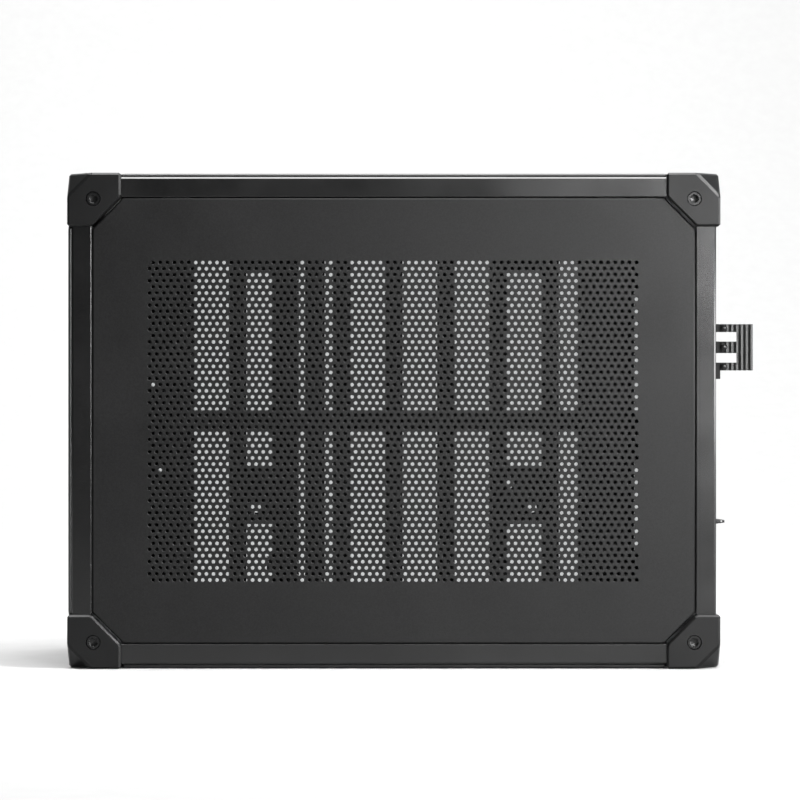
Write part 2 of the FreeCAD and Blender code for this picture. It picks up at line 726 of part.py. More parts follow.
def make_drive_plates():
    """Two mirrored pairs of plates that bridge a slot each; the lower pair has round holes."""
    start = "(Size.depth / 2 - Size.drive_plate_slots * Size.slot_pitch - Size.drive_plate_width / 2)"
    end = f"{start} + Size.drive_plate_width"
    bottom = "(Size.height / 2 - Size.drive_plate_drop)"
    upper_bottom = "(Size.height / 2 + Size.drive_plate_rise)"
    lower_plate = rectangle(start, bottom, end, f"{bottom} + Size.drive_plate_height")
    upper_plate = rectangle(start, upper_bottom, end, f"{upper_bottom} + Size.drive_plate_height")
    hole_x = f"({start} + Size.drive_hole_inset_x)"
    hole_z = f"({bottom} + Size.drive_hole_inset_z)"
    holes = [(hole_x, hole_z), (f"({hole_x} + Size.drive_hole_step)", f"{hole_z} + Size.drive_hole_step")]
    for suffix, plate, places in (("", lower_plate, holes), ("_upper", upper_plate, [])):
        front = new_body("drive_plate_front" + suffix)
        front_holes = [circle(x, z, "Size.drive_hole_radius") for x, z in places]
        pad(front, "XZ", f"-{RAIL_INNER}", "Size.drive_plate_thick", [plate] + front_holes)
        rear = new_body("drive_plate_rear" + suffix)
        rear_plate = [(f"Size.depth - ({x})", z) for x, z in plate]
        rear_holes = [circle(f"Size.depth - {x}", z, "Size.drive_hole_radius") for x, z in places]
        pad(rear, "XZ", f"-{RAIL_INNER}", "Size.drive_plate_thick", [rear_plate] + rear_holes)


def make_standoffs():
    """Threaded posts on the board pattern; those on the strap are shorter by its thickness."""
    rows = board_rows()
    rear_columns = ["Size.board_column_top", "Size.board_column_first", "Size.board_column_first"]
    on_tray = [(f"({BOARD_REAR} - {column})", z) for column, z in zip(rear_columns, rows)]
    on_tray += [(f"({BOARD_REAR} - Size.board_column_middle)", z) for z in rows]
    on_strap = [(f"({BOARD_REAR} - Size.board_column_last)", z) for z in rows]
    body = new_body("board_standoffs")
    top = f"-({TRAY_FAR} + Size.standoff_height)"
    strap_height = "Size.standoff_height - Size.strap_thick"
    for places, height in ((on_tray, "Size.standoff_height"), (on_strap, strap_height)):
        posts = [hexagon(x, z, "Size.standoff_radius") for x, z in places]
        bores = [circle(x, z, "Size.standoff_bore") for x, z in places]
        pad(body, "XZ", top, height, posts + bores)


def make_supply_bracket():
    """A level plate for a power supply that hangs below it, with a foot on the tray."""
    body = new_body("supply_bracket")
    end = "(Size.supply_start + Size.supply_depth)"
    far = f"(Size.width - {RAIL_INNER} - Size.supply_side_gap)"
    hole_x = ["Size.supply_start + Size.supply_hole_end", f"{end} - Size.supply_hole_end"]
    hole_y = [f"{TRAY_FAR} + Size.supply_hole_side", f"{far} - Size.supply_hole_side"]
    holes = [circle(x, y, "Size.supply_hole_radius") for x in hole_x for y in hole_y]
    plate = rectangle("Size.supply_start", TRAY_FAR, end, far)
    window = rectangle(
        "Size.supply_start + Size.supply_window_end", f"{TRAY_FAR} + Size.supply_window_side",
        f"{end} - Size.supply_window_end", f"{far} - Size.supply_window_side",
    )
    pad(body, "XY", SUPPLY_LEVEL, "Size.supply_thick", [plate, window] + holes)
    foot = rectangle(NOTCH_LONG, SUPPLY_LEVEL, end, f"{SUPPLY_LEVEL} + Size.supply_foot")
    pad(body, "XZ", f"-({TRAY_FAR} + Size.supply_thick)", "Size.supply_thick", [foot])


# Rear panel, slot covers and power inlet


def bay_levels():
    return [f"({FIRST_BAY} - {k} * Size.bay_pitch)" for k in range(int(SIZES["bay_count"]))]


def tab_hole_x():
    return f"({REAR_OUTER} + Size.bracket_tab_reach / 2)"


def make_rear_panel():
    """A folded pan between the rear rails, deep enough to keep the bracket tabs inside the frame."""
    body = new_body("rear_panel")
    corner = cut_corner(RAIL_INNER, RAIL_INNER)
    outline = plate_outline("Size.width", "Size.height", corner, corner)
    connector_bottom = f"{CONNECTOR_TOP} - Size.connector_length"
    connectors = rectangle(CONNECTOR_SIDE, connector_bottom, CONNECTOR_END, CONNECTOR_TOP)
    fan_holes = [
        circle(f"{FAN_SIDE} {u} Size.fan_hole_spacing / 2", f"{FAN_LEVEL} {v} Size.fan_hole_spacing / 2",
               "Size.fan_hole_radius")
        for u in ("-", "+") for v in ("-", "+")
    ]
    inlet = centred(
        FAN_SIDE, INLET_LEVEL,
        "(Size.inlet_width + 2 * Size.inlet_clearance)", "(Size.inlet_height + 2 * Size.inlet_clearance)",
    )
    pad(body, "YZ", REAR_INNER, "Size.rear_thick", [outline, connectors, inlet] + fan_holes)
    first_slot = f"({FAN_LEVEL} - (Size.fan_slots - 1) * Size.fan_slot_pitch / 2)"
    slot_length = "(Size.fan_hole_spacing - 2 * Size.fan_slot_margin)"
    slot = centred(FAN_SIDE, first_slot, slot_length, "Size.fan_slot_width")
    grille = cut(body, "YZ", REAR_INNER, "Size.rear_thick", [slot])
    repeat(body, grille, "V_Axis", "Size.fan_slot_pitch", "Size.fan_slots")
    levels = bay_levels()
    bay_end = f"{BAY_START} + Size.bay_length"
    half_bay = "Size.bay_width / 2"
    bays = [rectangle(BAY_START, f"{z} - {half_bay}", bay_end, f"{z} + {half_bay}") for z in levels]
    cut(body, "YZ", REAR_INNER, "Size.rear_thick", bays)
    pad(body, "YZ", REAR_INNER, "Size.rear_thick + Size.rear_recess - Size.rear_lip", pan_walls())
    ledge = rectangle(REAR_INNER, f"{levels[-1]} - Size.bay_pitch / 2",
                      f"{REAR_OUTER} + Size.ledge_reach", f"{levels[0]} + Size.bay_pitch / 2")
    screw_holes = [circle(tab_hole_x(), z, "Size.thumb_shank_radius + Size.thumb_clearance") for z in levels]
    pad(body, "XZ", f"-{LEDGE_FACE}", "Size.ledge_thick", [ledge] + screw_holes)


def pan_walls():
    """Four strips inside the rails, each between two corner blocks."""
    start = f"({DIAGONAL} - {RAIL_INNER})"
    inner = f"({RAIL_INNER} + Size.rear_thick)"
    return [
        rectangle(RAIL_INNER, start, inner, f"Size.height - {start}"),
        rectangle(f"Size.width - {inner}", start, f"Size.width - {RAIL_INNER}", f"Size.height - {start}"),
        rectangle(start, RAIL_INNER, f"Size.width - {start}", inner),
        rectangle(start, f"Size.height - {inner}", f"Size.width - {start}", f"Size.height - {RAIL_INNER}"),
    ]


def make_slot_covers():
    """Blanking brackets behind the bays, each with a tab bent out over the ledge."""
    tab_face = f"({LEDGE_FACE} + Size.bracket_thick)"
    plate_face = f"({REAR_INNER} - Size.bracket_thick)"
    levels = bay_levels()
    for count, z in enumerate(levels, start=1):
        body = new_body(f"slot_cover_{count}")
        plate = rectangle(f"{BAY_START} - Size.bracket_foot", f"{z} - Size.bracket_width / 2",
                          tab_face, f"{z} + Size.bracket_width / 2")
        pad(body, "YZ", plate_face, "Size.bracket_thick", [plate])
        tab = rectangle(plate_face, f"{z} - Size.bracket_tab_width / 2",
                        f"{REAR_OUTER} + Size.bracket_tab_reach", f"{z} + Size.bracket_tab_width / 2")
        hole = circle(tab_hole_x(), z, "Size.thumb_shank_radius + Size.thumb_clearance")
        pad(body, "XZ", f"-{tab_face}", "Size.bracket_thick", [tab, hole])
    screws = new_body("slot_screws")
    heads = [circle(tab_hole_x(), z, "Size.thumb_radius") for z in levels]
    shanks = [circle(tab_hole_x(), z, "Size.thumb_shank_radius") for z in levels]
    pad(screws, "XZ", f"-({tab_face} + Size.thumb_length)", "Size.thumb_length", heads)
    pad(screws, "XZ", f"-{tab_face}", "Size.thumb_shank_length", shanks)


def make_power_inlet():
    body = new_body("power_inlet")
    middle = (FAN_SIDE, INLET_LEVEL)
    shell = centred(*middle, "Size.inlet_width", "Size.inlet_height")
    flange = centred(*middle, "Size.inlet_flange_width", "Size.inlet_flange_height")
    walls = "2 * Size.inlet_wall"
    socket = centred(*middle, f"(Size.inlet_width - {walls})", f"(Size.inlet_height - {walls})")
    floor = f"({REAR_OUTER} + Size.inlet_flange_thick - Size.inlet_socket_depth)"
    pad(body, "YZ", f"{REAR_OUTER} - Size.inlet_depth", "Size.inlet_depth", [shell])
    pad(body, "YZ", REAR_OUTER, "Size.inlet_flange_thick", [flange])
    cut(body, "YZ", floor, "Size.inlet_socket_depth", [socket])
    prong = ("Size.prong_width", "Size.prong_height")
    low = f"{INLET_LEVEL} - Size.prong_offset"
    prongs = [
        centred(f"{FAN_SIDE} - Size.prong_spacing", low, *prong),
        centred(f"{FAN_SIDE} + Size.prong_spacing", low, *prong),
        centred(FAN_SIDE, f"{INLET_LEVEL} + Size.prong_offset", *prong),
    ]
    pad(body, "YZ", floor, "Size.prong_length", prongs)


# Front connectors


def beside_middle(shift):
    """A place across the front, by its distance from the middle of the width."""
    return f"(Size.width / 2 + {shift})"


def type_a_places():
    return [beside_middle("Size.type_a_shift"), beside_middle("Size.type_a_shift + Size.type_a_step")]


def connector_holes():
    """Openings for the button and the ports, shared by the front panel and the module behind it."""
    level = MODULE_LEVEL
    gap = "2 * Size.port_clearance"
    button_place = beside_middle("Size.button_shift")
    type_c_place = beside_middle("Size.type_c_shift")
    holes = [circle(button_place, level, "Size.button_radius + Size.button_clearance")]
    for side in type_a_places():
        holes.append(centred(side, level, f"(Size.type_a_width + {gap})", f"(Size.type_a_height + {gap})"))
    type_c_size = (f"(Size.type_c_width + {gap})", f"(Size.type_c_height + {gap})")
    holes.append(centred(type_c_place, level, *type_c_size))
    holes.append(circle(beside_middle("Size.jack_shift"), level, "Size.jack_radius + Size.port_clearance"))
    return holes


def make_front_connectors():
    level = MODULE_LEVEL
    module = new_body("front_module")
    block = centred("Size.width / 2", level, "Size.module_width", "Size.module_height")
    hole_depth = "(Size.port_depth - Size.skin_thick)"
    pad(module, "YZ", "Size.rail_inset", hole_depth, [block] + connector_holes())
    pad(module, "YZ", f"Size.rail_inset + {hole_depth}", f"Size.module_depth - {hole_depth}", [block])

    button = new_body("power_button")
    button_length = "Size.port_depth - Size.button_travel - Size.button_stop_gap"
    button_place = beside_middle("Size.button_shift")
    pad(button, "YZ", SKIN_MARGIN, button_length, [circle(button_place, level, "Size.button_radius")])

    make_ports("usb_a_ports", type_a_places(), "Size.type_a_width", "Size.type_a_height", "Size.tongue_thick")
    type_c_places = [beside_middle("Size.type_c_shift")]
    make_ports("usb_c_port", type_c_places, "Size.type_c_width", "Size.type_c_height", "Size.port_wall")

    jack = new_body("audio_jack")
    body_loop = circle(beside_middle("Size.jack_shift"), level, "Size.jack_radius")
    bore = circle(beside_middle("Size.jack_shift"), level, "Size.jack_bore")
    pad(jack, "YZ", SKIN_MARGIN, "Size.port_depth - Size.port_wall", [body_loop, bore])
    pad(jack, "YZ", f"{SKIN_MARGIN} + Size.port_depth - Size.port_wall", "Size.port_wall", [body_loop])


def make_ports(label, sides, width, height, tongue):
    """Metal shells with a closed back and a contact tongue."""
    body = new_body(label)
    level = MODULE_LEVEL
    wall = "2 * Size.port_wall"
    shells = [centred(side, level, width, height) for side in sides]
    mouths = [centred(side, level, f"({width} - {wall})", f"({height} - {wall})") for side in sides]
    tongues = [centred(side, level, f"({width} - {wall} - 2 * Size.tongue_gap)", tongue) for side in sides]
    inner_depth = "(Size.port_depth - Size.port_wall)"
    pad(body, "YZ", SKIN_MARGIN, inner_depth, shells + mouths)
    pad(body, "YZ", f"{SKIN_MARGIN} + {inner_depth}", "Size.port_wall", shells)
    pad(body, "YZ", f"{SKIN_MARGIN} + Size.tongue_gap", f"{inner_depth} - Size.tongue_gap", tongues)


# Rear anchor and eye, both on the right-hand rear post


def make_anchor():
    """A ribbed plate on three legs; straps go through the two windows beside the post."""
    body = new_body("cable_anchor")
    low = "Size.anchor_bottom"
    high = "(Size.anchor_bottom + Size.anchor_height)"
    outer = f"{REAR_RAIL_FACE} + Size.anchor_reach"
    far_face = f"({RAIL_MIDDLE} + Size.anchor_thick / 2)"
    pad(body, "XZ", f"-{far_face}", "Size.anchor_thick", [rectangle(REAR_RAIL_FACE, low, outer, high)])
    first = f"({outer} - Size.anchor_rib_width - (Size.anchor_ribs - 1) * Size.anchor_rib_pitch)"
    rib = rectangle(first, low, f"{first} + Size.anchor_rib_width", high)
    rib_thick = "(Size.anchor_thick + 2 * Size.anchor_rib_height)"
    rib_face = f"-({RAIL_MIDDLE} + {rib_thick} / 2)"
    ribs = pad(body, "XZ", rib_face, rib_thick, [rib])
    repeat(body, ribs, "H_Axis", "Size.anchor_rib_pitch", "Size.anchor_ribs")
    upper_window = f"({high} - Size.anchor_end_leg - Size.anchor_window_height)"
    window_lows = [f"({low} + Size.anchor_end_leg)", upper_window]
    window_highs = [f"({z} + Size.anchor_window_height)" for z in window_lows]
    window_end = f"{REAR_RAIL_FACE} + Size.anchor_window_depth"
    spans = zip(window_lows, window_highs)
    windows = [rectangle(REAR_RAIL_FACE, start, window_end, end) for start, end in spans]
    cut(body, "XZ", rib_face, rib_thick, windows)
    legs = list(zip([low] + window_highs, window_lows + [high]))
    foot = (f"{RAIL_MIDDLE} - Size.anchor_foot_width / 2", f"{RAIL_MIDDLE} + Size.anchor_foot_width / 2")
    feet = [rectangle(foot[0], start, foot[1], end) for start, end in legs]
    pad(body, "YZ", REAR_RAIL_FACE, "Size.anchor_foot_thick", feet)
    tab = rectangle(foot[0], f"{low} - Size.anchor_tab_drop", foot[1], low)
    pad(body, "YZ", REAR_RAIL_FACE, "Size.anchor_tab_thick", [tab])
    rivet_x = f"({REAR_RAIL_FACE} + Size.rivet_offset)"
    middles = [f"({start} + {end}) / 2" for start, end in legs]
    holes = [circle(rivet_x, z, "Size.rivet_radius + Size.rivet_clearance") for z in middles]
    cut(body, "XZ", rib_face, rib_thick, holes)

    rivets = new_body("anchor_rivets")
    shanks = [circle(rivet_x, z, "Size.rivet_radius") for z in middles]
    heads = [circle(rivet_x, z, "Size.rivet_head_radius") for z in middles]
    far_end = f"({RAIL_MIDDLE} + {rib_thick} / 2 + Size.rivet_proud)"
    pad(rivets, "XZ", f"-{far_end}", f"{rib_thick} + 2 * Size.rivet_proud", shanks)
    pad(rivets, "XZ", f"-{far_end}", "Size.rivet_proud", heads)
    pad(rivets, "XZ", f"-({RAIL_MIDDLE} - {rib_thick} / 2)", "Size.rivet_proud", heads)


def make_eye():
    body = new_body("rear_eye")
    section = circle(RAIL_MIDDLE, "Size.eye_level", "Size.eye_radius")
    pad(body, "YZ", REAR_RAIL_FACE, "Size.eye_length", [section], "-Size.eye_taper")
    hole = circle(f"{REAR_RAIL_FACE} + Size.eye_hole_offset", "Size.eye_level", "Size.eye_hole_radius")
    cut(body, "XZ", f"-({RAIL_MIDDLE} + Size.eye_radius)", "2 * Size.eye_radius", [hole])


def check_and_write():
    doc.recompute()
    for item in doc.Objects:
        if "Invalid" in item.State or "Error" in item.State:
            raise RuntimeError(f"{item.Label} failed to rebuild")
    for body in PIECES:
        if body.Shape.isNull() or not body.Shape.isValid() or not body.Shape.Solids:
            raise RuntimeError(f"{body.Label} has no valid solid")
    os.makedirs("parts", exist_ok=True)
    for body in PIECES:
        body.Shape.exportStep(f"parts/{body.Label}.step")


make_rails()
make_corners()
make_corner_screws()
make_side_panels()
make_studs_and_clips()
make_skins()
make_tray()
make_tray_fittings()
make_drive_plates()
make_standoffs()
make_supply_bracket()
make_rear_panel()
make_slot_covers()
make_power_inlet()
make_front_connectors()
make_anchor()
make_eye()
check_and_write()
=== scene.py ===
import json
import math

import bpy
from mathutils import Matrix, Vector
from mathutils.geometry import delaunay_2d_cdt


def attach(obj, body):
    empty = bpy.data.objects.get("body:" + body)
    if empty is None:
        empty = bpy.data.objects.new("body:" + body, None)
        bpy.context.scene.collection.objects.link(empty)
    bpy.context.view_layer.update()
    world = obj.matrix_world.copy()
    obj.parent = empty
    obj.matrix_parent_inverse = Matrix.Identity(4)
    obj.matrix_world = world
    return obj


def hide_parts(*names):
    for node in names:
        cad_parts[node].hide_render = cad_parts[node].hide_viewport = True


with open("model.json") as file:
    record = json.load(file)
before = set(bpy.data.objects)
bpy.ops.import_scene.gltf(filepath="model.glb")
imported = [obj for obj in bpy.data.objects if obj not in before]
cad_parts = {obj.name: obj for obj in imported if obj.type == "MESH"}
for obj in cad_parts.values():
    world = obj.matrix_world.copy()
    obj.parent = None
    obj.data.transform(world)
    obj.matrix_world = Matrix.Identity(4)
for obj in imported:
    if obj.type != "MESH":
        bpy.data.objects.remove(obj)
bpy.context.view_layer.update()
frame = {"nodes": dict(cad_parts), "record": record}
nodes = frame["nodes"]
scene = bpy.context.scene
scene.view_settings.view_transform = "Standard"

# Lengths of the object are in millimetres; floor, lights and camera are placed in metres.
MM = 0.001

# The case without its cable anchor: X of its front, and its outer size
FRONT = -204.9
DEPTH = 390.0
WIDTH = 190.0
HEIGHT = 296.0
MIDDLE_X = FRONT + DEPTH / 2.0
MIDDLE_Z = HEIGHT / 2.0

# Fine perforation: pitch in a row, distance between rows, radius, chamfer at the rim, and how many
# flat sides a hole has in the side panel and in the skins
PITCH = 4.2463
ROW_PITCH = 3.6473
HOLE_RADIUS = 1.15
HOLE_EDGE = 0.2
PANEL_HOLE_SIDES = 8
SKIN_HOLE_SIDES = 12

# Side panels: how far they stay inside the case's outline, and where their cut corners start
PANEL_EDGE = 14.8
PANEL_CUT = 33.297
PANEL_FACE_Y = -92.6
PANEL_THICK = 2.0
PANEL_EDGES = (1.0, 0.73, 0.2, 0.2, HOLE_EDGE)
SIDE_FIELD_MIDDLE = (-0.5, -0.4)
SIDE_FIELD_COLUMNS = 69
SIDE_FIELD_ROWS = 53

# Border printed on the inner face of the glass
PRINT_FACE_Y = 88.54
PRINT_THICK = 0.05
PRINT_MARGIN = 0.6
PRINT_WIDTH = 14.0
PRINT_EDGES = (0.01, 0.01, 0.01, 0.01, 0.01)

# Skins: the notches round the corner blocks, the margins to the case's outline, and the edges
BLOCK_NOTCH_LONG = 33.2
BLOCK_NOTCH_SHORT = 14.897
SKIN_MARGIN = 0.4
SKIN_SIDE = 3.5
SKIN_INNER = 2.4
SKIN_THICK = 2.0
SKIN_EDGES = (0.9, 0.9, 0.3, 0.75, HOLE_EDGE)
TOP_FIELD_COLUMNS = 69
TOP_FIELD_ROWS = 25
FRONT_FIELD_MIDDLE = (0.0, -20.0)
FRONT_FIELD_COLUMNS = 25
FRONT_FIELD_ROWS = 45

# Front openings: the place of the button's face, and the other openings along U, which runs to -Y
BUTTON_PLACE = (-204.5, -39.0, 266.0)
BUTTON_HOLE_RADIUS = 7.3
JACK_U = -45.0
JACK_HOLE_RADIUS = 3.2
TYPE_A_PLACES_U = (-9.0, -29.0)
TYPE_A_OPENING = (14.4, 7.2)
TYPE_C_U = 11.0
TYPE_C_OPENING = (9.4, 3.8)

# Cable anchor: the middle of its thickness, and where its ridges begin
ANCHOR_Y = -86.6
ANCHOR_RIDGES_X = 188.0

# Fasteners: the places of their heads
CORNER_SCREWS_X = (-189.3, 169.5)
CORNER_SCREW_FACE_Y = 94.0
CORNER_SCREWS_Z = (15.6, 280.4)
SLOT_SCREW_X = 163.15
SLOT_SCREW_SEAT_Y = 33.5
SLOT_SCREWS_Z = (35.79, 56.11, 76.43, 96.75)
RIVET_X = 187.7
RIVETS_Z = (180.35, 191.85, 203.35)
INLET_SCREW_X = 159.9
INLET_SCREWS_Y = (5.2, 45.2)
INLET_SCREW_Z = 132.0

# Contacts of the type A ports: their ends, their faces, and their places beside a port's middle
CONTACT_ENDS_X = (-203.2, -198.0)
CONTACT_FACES_Z = (264.98, 265.16)
CONTACT_STEPS = (-3.6, -1.2, 1.2, 3.6)
CONTACT_HALF_WIDTH = 0.55

# Prongs of the power inlet: their ends, their middles in Y and Z, and half of their section
PRONG_ENDS_X = (145.0, 155.1)
PRONG_MIDDLES = [(18.175, 130.0), (32.175, 130.0), (25.175, 134.0)]
PRONG_HALF_SIZE = (1.15, 2.15)

# Depth of a knurl, and the share of a cross recess's radius that is half of an arm's width
KNURL_DEPTH = 0.14
CROSS_ARM = 0.28

# A texture's value runs from 0 to 1; colour and roughness change over this part of it
VALUE_LOW = 0.3
VALUE_HIGH = 0.7

# Broad patches in the roughness of a finish, in waves per metre
PATCH_SCALE = 28.0

# Glass: its colour and refractive index
GLASS_TINT = (0.54, 0.555, 0.555, 1.0)
GLASS_INDEX = 1.46


# Materials


def new_material(name):
    material = bpy.data.materials.new(name)
    material.use_nodes = True
    return material, material.node_tree, material.node_tree.nodes["Principled BSDF"]


def grey(level, cool=1.04):
    """A neutral tone with a slight blue cast."""
    return (level, level * (1.0 + cool) / 2.0, level * cool)


def noise(tree, scale, detail=3.0, stretch=(1.0, 1.0, 1.0)):
    """A noise value on the object's own coordinates; scale is in waves per metre."""
    place = tree.nodes.new("ShaderNodeTexCoord")
    mapping = tree.nodes.new("ShaderNodeMapping")
    mapping.inputs["Scale"].default_value = stretch
    texture = tree.nodes.new("ShaderNodeTexNoise")
    texture.inputs["Scale"].default_value = scale
    texture.inputs["Detail"].default_value = detail
    tree.links.new(place.outputs["Object"], mapping.inputs["Vector"])
    tree.links.new(mapping.outputs["Vector"], texture.inputs["Vector"])
    return texture.outputs["Fac"]


def spread(tree, value, low, high):
    """Maps the middle of a value's range onto low to high."""
    node = tree.nodes.new("ShaderNodeMapRange")
    node.inputs["From Min"].default_value = VALUE_LOW
    node.inputs["From Max"].default_value = VALUE_HIGH
    node.inputs["To Min"].default_value = low
    node.inputs["To Max"].default_value = high
    tree.links.new(value, node.inputs["Value"])
    return node.outputs["Result"]


def two_tone(tree, value, dark, light):
    ramp = tree.nodes.new("ShaderNodeValToRGB")
    ramp.color_ramp.elements[0].position = VALUE_LOW
    ramp.color_ramp.elements[0].color = (*dark, 1.0)
    ramp.color_ramp.elements[1].position = VALUE_HIGH
    ramp.color_ramp.elements[1].color = (*light, 1.0)
    tree.links.new(value, ramp.inputs["Fac"])
    return ramp.outputs["Color"]


def add_bump(tree, shader, value, depth_mm):
    bump = tree.nodes.new("ShaderNodeBump")
    bump.inputs["Distance"].default_value = depth_mm * MM
    tree.links.new(value, bump.inputs["Height"])
    tree.links.new(bump.outputs["Normal"], shader.inputs["Normal"])


def surface(name, dark, light, rough, metallic=0.0, grain=1600.0, depth=0.02,
            stretch=(1.0, 1.0, 1.0), gloss=0.25):
    """A speckled finish: fine grain in colour and bump, broad patches in roughness."""
    material, tree, shader = new_material(name)
    shader.inputs["Metallic"].default_value = metallic
    shader.inputs["Specular IOR Level"].default_value = gloss
    fine = noise(tree, grain, stretch=stretch)
    tree.links.new(two_tone(tree, fine, dark, light), shader.inputs["Base Color"])
    patches = noise(tree, PATCH_SCALE, detail=5.0)
    tree.links.new(spread(tree, patches, *rough), shader.inputs["Roughness"])
    add_bump(tree, shader, fine, depth)
    return material


def glass():
    """Tinted glass with faint smudges and a slight waviness."""
    material, tree, shader = new_material("tinted_glass")
    shader.inputs["Base Color"].default_value = GLASS_TINT
    shader.inputs["Transmission Weight"].default_value = 1.0
    shader.inputs["IOR"].default_value = GLASS_INDEX
    smudges = noise(tree, 35.0, detail=6.0)
    tree.links.new(spread(tree, smudges, 0.0, 0.03), shader.inputs["Roughness"])
    add_bump(tree, shader, noise(tree, 6.0), 0.01)
    return material


def turned(name, dark, light, rough, middle, rings, depth):
    """Fine rings about a line along X through a point, as a lathe leaves them."""
    material, tree, shader = new_material(name)
    shader.inputs["Metallic"].default_value = 0.85
    place = tree.nodes.new("ShaderNodeTexCoord")
    mapping = tree.nodes.new("ShaderNodeMapping")
    mapping.inputs["Location"].default_value = [-part * MM for part in middle]
    wave = tree.nodes.new("ShaderNodeTexWave")
    wave.wave_type = "RINGS"
    wave.rings_direction = "X"
    wave.inputs["Scale"].default_value = rings
    wave.inputs["Distortion"].default_value = 0.6
    tree.links.new(place.outputs["Object"], mapping.inputs["Vector"])
    tree.links.new(mapping.outputs["Vector"], wave.inputs["Vector"])
    colour = two_tone(tree, wave.outputs["Fac"], dark, light)
    tree.links.new(colour, shader.inputs["Base Color"])
    tree.links.new(spread(tree, noise(tree, 900.0), *rough), shader.inputs["Roughness"])
    add_bump(tree, shader, wave.outputs["Fac"], depth)
    return material


def ridged(name, start_x, middle_y, foot, top):
    """Black rubber with ridges, painted grey at their tops as a painted highlight and near-black in the
    hollows between them as painted shade.

    The ridges lie beyond an X, and rise from foot to top on both sides of a plane at a Y.
    """
    material, tree, shader = new_material(name)
    shader.inputs["Specular IOR Level"].default_value = 0.4
    place = tree.nodes.new("ShaderNodeTexCoord")
    split = tree.nodes.new("ShaderNodeSeparateXYZ")
    offset = tree.nodes.new("ShaderNodeMath")
    offset.operation = "SUBTRACT"
    offset.inputs[1].default_value = middle_y * MM
    size = tree.nodes.new("ShaderNodeMath")
    size.operation = "ABSOLUTE"
    rise = tree.nodes.new("ShaderNodeMapRange")
    rise.inputs["From Min"].default_value = foot * MM
    rise.inputs["From Max"].default_value = top * MM
    beyond = tree.nodes.new("ShaderNodeMath")
    beyond.operation = "GREATER_THAN"
    beyond.inputs[1].default_value = start_x * MM
    painted_light_mask = tree.nodes.new("ShaderNodeMath")
    painted_light_mask.operation = "MULTIPLY"
    tree.links.new(place.outputs["Object"], split.inputs["Vector"])
    tree.links.new(split.outputs["X"], beyond.inputs[0])
    tree.links.new(split.outputs["Y"], offset.inputs[0])
    tree.links.new(offset.outputs["Value"], size.inputs[0])
    tree.links.new(size.outputs["Value"], rise.inputs["Value"])
    tree.links.new(rise.outputs["Result"], painted_light_mask.inputs[0])
    tree.links.new(beyond.outputs["Value"], painted_light_mask.inputs[1])
    # Painted light: the ridge tops get a lighter grey as a painted highlight, and the hollows a near-black
    # as painted shade.
    colour = two_tone(tree, painted_light_mask.outputs["Value"], grey(0.0015), grey(0.014))
    tree.links.new(colour, shader.inputs["Base Color"])
    tree.links.new(spread(tree, painted_light_mask.outputs["Value"], 0.85, 0.34), shader.inputs["Roughness"])
    add_bump(tree, shader, noise(tree, 1100.0), 0.03)
    return material


materials = {
    "frame_rails": surface(
        "rail_anodised", grey(0.0015), grey(0.0045), (0.20, 0.27),
        stretch=(0.35, 1.0, 1.0), gloss=0.4,
    ),
    "corner_blocks": surface(
        "block_anodised", grey(0.002), grey(0.005), (0.34, 0.42), gloss=0.165,
    ),
    "side_panel": surface(
        "panel_anodised", grey(0.0015), grey(0.006), (0.36, 0.44), grain=1300.0, gloss=0.18,
    ),
    "side_glass": glass(),
    "skins": surface("skin_anodised", grey(0.002), grey(0.006), (0.34, 0.42)),
    "inner_sheet": surface(
        "sheet_powder", grey(0.005), grey(0.010), (0.50, 0.62), grain=900.0, depth=0.04,
    ),
    "black_plastic": surface(
        "plastic_eroded", grey(0.008), grey(0.014), (0.52, 0.66), grain=1100.0, depth=0.05,
    ),
    "black_screws": surface(
        "screw_oxide", grey(0.003), grey(0.007), (0.24, 0.30), grain=2200.0, depth=0.006, gloss=0.22,
    ),
    "bright_steel": surface(
        "steel_satin", grey(0.42, 1.02), grey(0.6, 1.02), (0.24, 0.36),
        metallic=1.0, grain=1500.0, depth=0.01,
    ),
    "standoffs": surface(
        "brass_turned", (0.55, 0.38, 0.15), (0.72, 0.52, 0.24), (0.22, 0.34),
        metallic=1.0, grain=1500.0, depth=0.01,
    ),
    "button_metal": turned(
        "button_turned", grey(0.03), grey(0.07), (0.28, 0.38), BUTTON_PLACE, 900.0, 0.01,
    ),
}
gold = surface(
    "contact_gold", (0.75, 0.52, 0.2), (0.9, 0.66, 0.3), (0.2, 0.3),
    metallic=1.0, grain=1500.0, depth=0.005,
)
# Anchor rubber with a painted highlight on its ridge tops and painted shade in its hollows.
painted_light_anchor_rubber = ridged("anchor_rubber_painted_light", ANCHOR_RIDGES_X, ANCHOR_Y, 1.0, 2.2)
dark_steel = surface("eye_oxide", grey(0.01), grey(0.02), (0.3, 0.42), grain=1500.0, depth=0.01)
glass_print = surface(
    "glass_print", grey(0.006), grey(0.010), (0.35, 0.45), grain=700.0, depth=0.01,
)


# Ways to build a piece


def new_piece(name, verts, faces, body, slot, material=None, sharp=33.0):
    """A mesh in row coordinates, given in millimetres, that rides on a body."""
    mesh = bpy.data.meshes.new(name)
    mesh.from_pydata([tuple(part * MM for part in vert) for vert in verts], [], faces)
    mesh.shade_smooth()
    mesh.set_sharp_from_angle(angle=math.radians(sharp))
    piece = bpy.data.objects.new(name, mesh)
    scene.collection.objects.link(piece)
    mesh.materials.append(material or materials[slot])
    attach(piece, body)
    return piece


def inset(outline, distance):
    """The outline moved inwards by a distance; it runs counter-clockwise."""
    moved = []
    for k, point in enumerate(outline):
        before = Vector(outline[k - 1])
        here = Vector(point)
        after = Vector(outline[(k + 1) % len(outline)])
        along_in = (here - before).normalized()
        along_out = (after - here).normalized()
        normal_in = Vector((-along_in.y, along_in.x))
        normal_out = Vector((-along_out.y, along_out.x))
        reach = distance / (1.0 + normal_in.dot(normal_out))
        moved.append(tuple(here + (normal_in + normal_out) * reach))
    return moved


